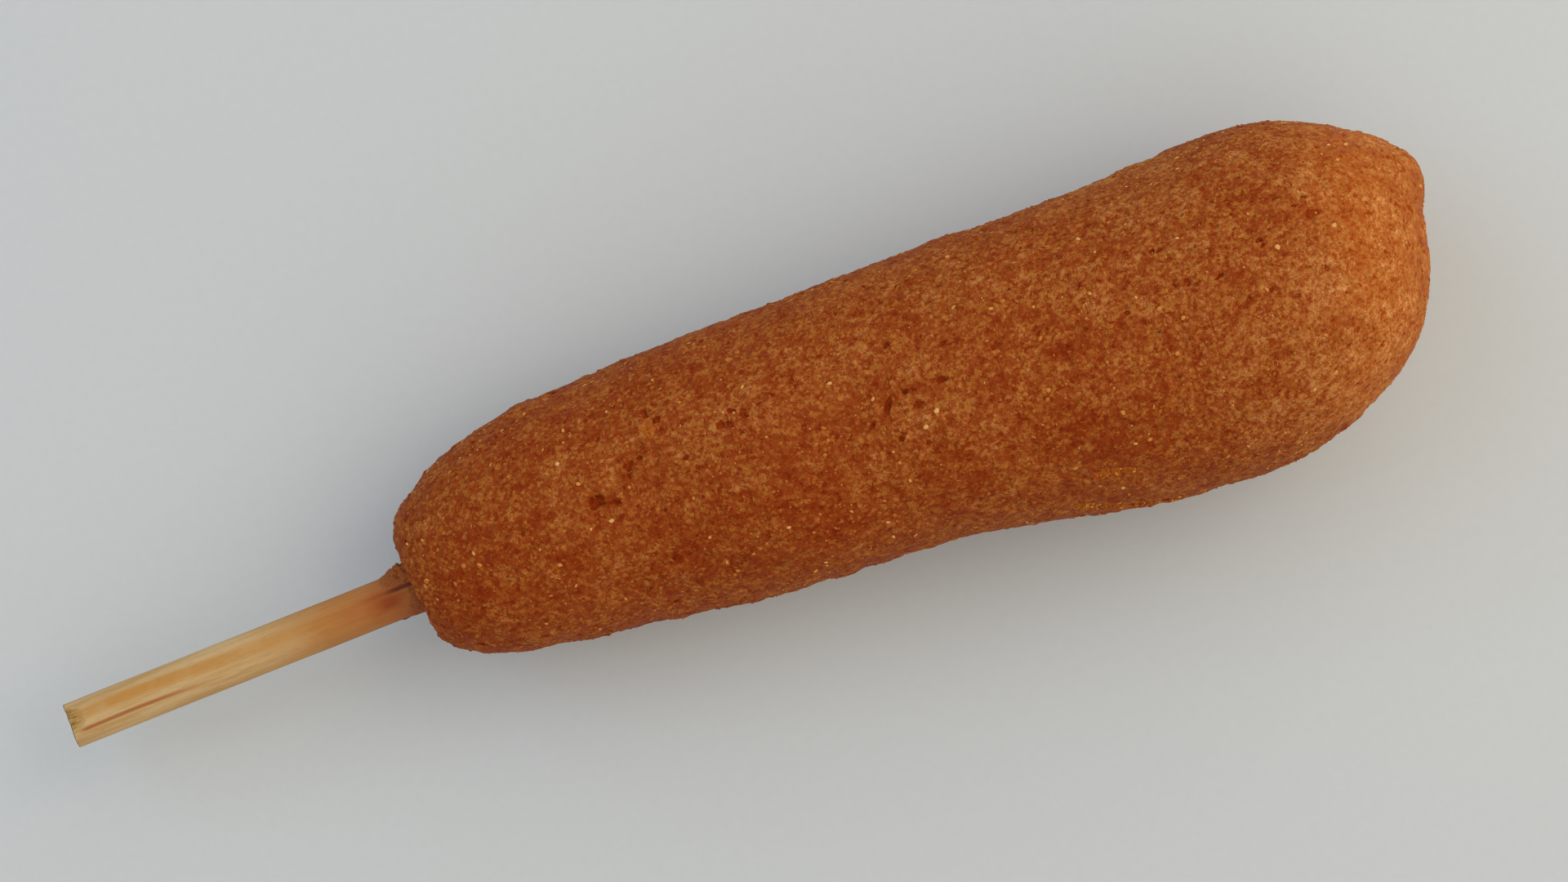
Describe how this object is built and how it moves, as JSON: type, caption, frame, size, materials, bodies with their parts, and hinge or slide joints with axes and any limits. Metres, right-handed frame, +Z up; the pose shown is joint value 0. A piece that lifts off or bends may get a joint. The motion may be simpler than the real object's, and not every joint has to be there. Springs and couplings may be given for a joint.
{
  "type": "corn dog",
  "caption": "Corn dog lying on its side: a club-shaped frankfurter in browned cornmeal batter on a round wooden stick.",
  "frame": {"origin": "middle of the bounding box's underside, on the surface that the corn dog lies on", "axes": "+X from the stick's free end to the food's fat tip, +Z up, the side shown in the reference facing up"},
  "size_m": [0.173, 0.0402, 0.0392],
  "materials": {
    "batter": "browned fried cornmeal batter, matte with a faint oily sheen, pale grits and dark pits",
    "stick": "plain unvarnished birch, oil-stained near the food"
  },
  "bodies": {
    "root": {"batter": "batter", "stick": "stick"}
  },
  "joints": []
}
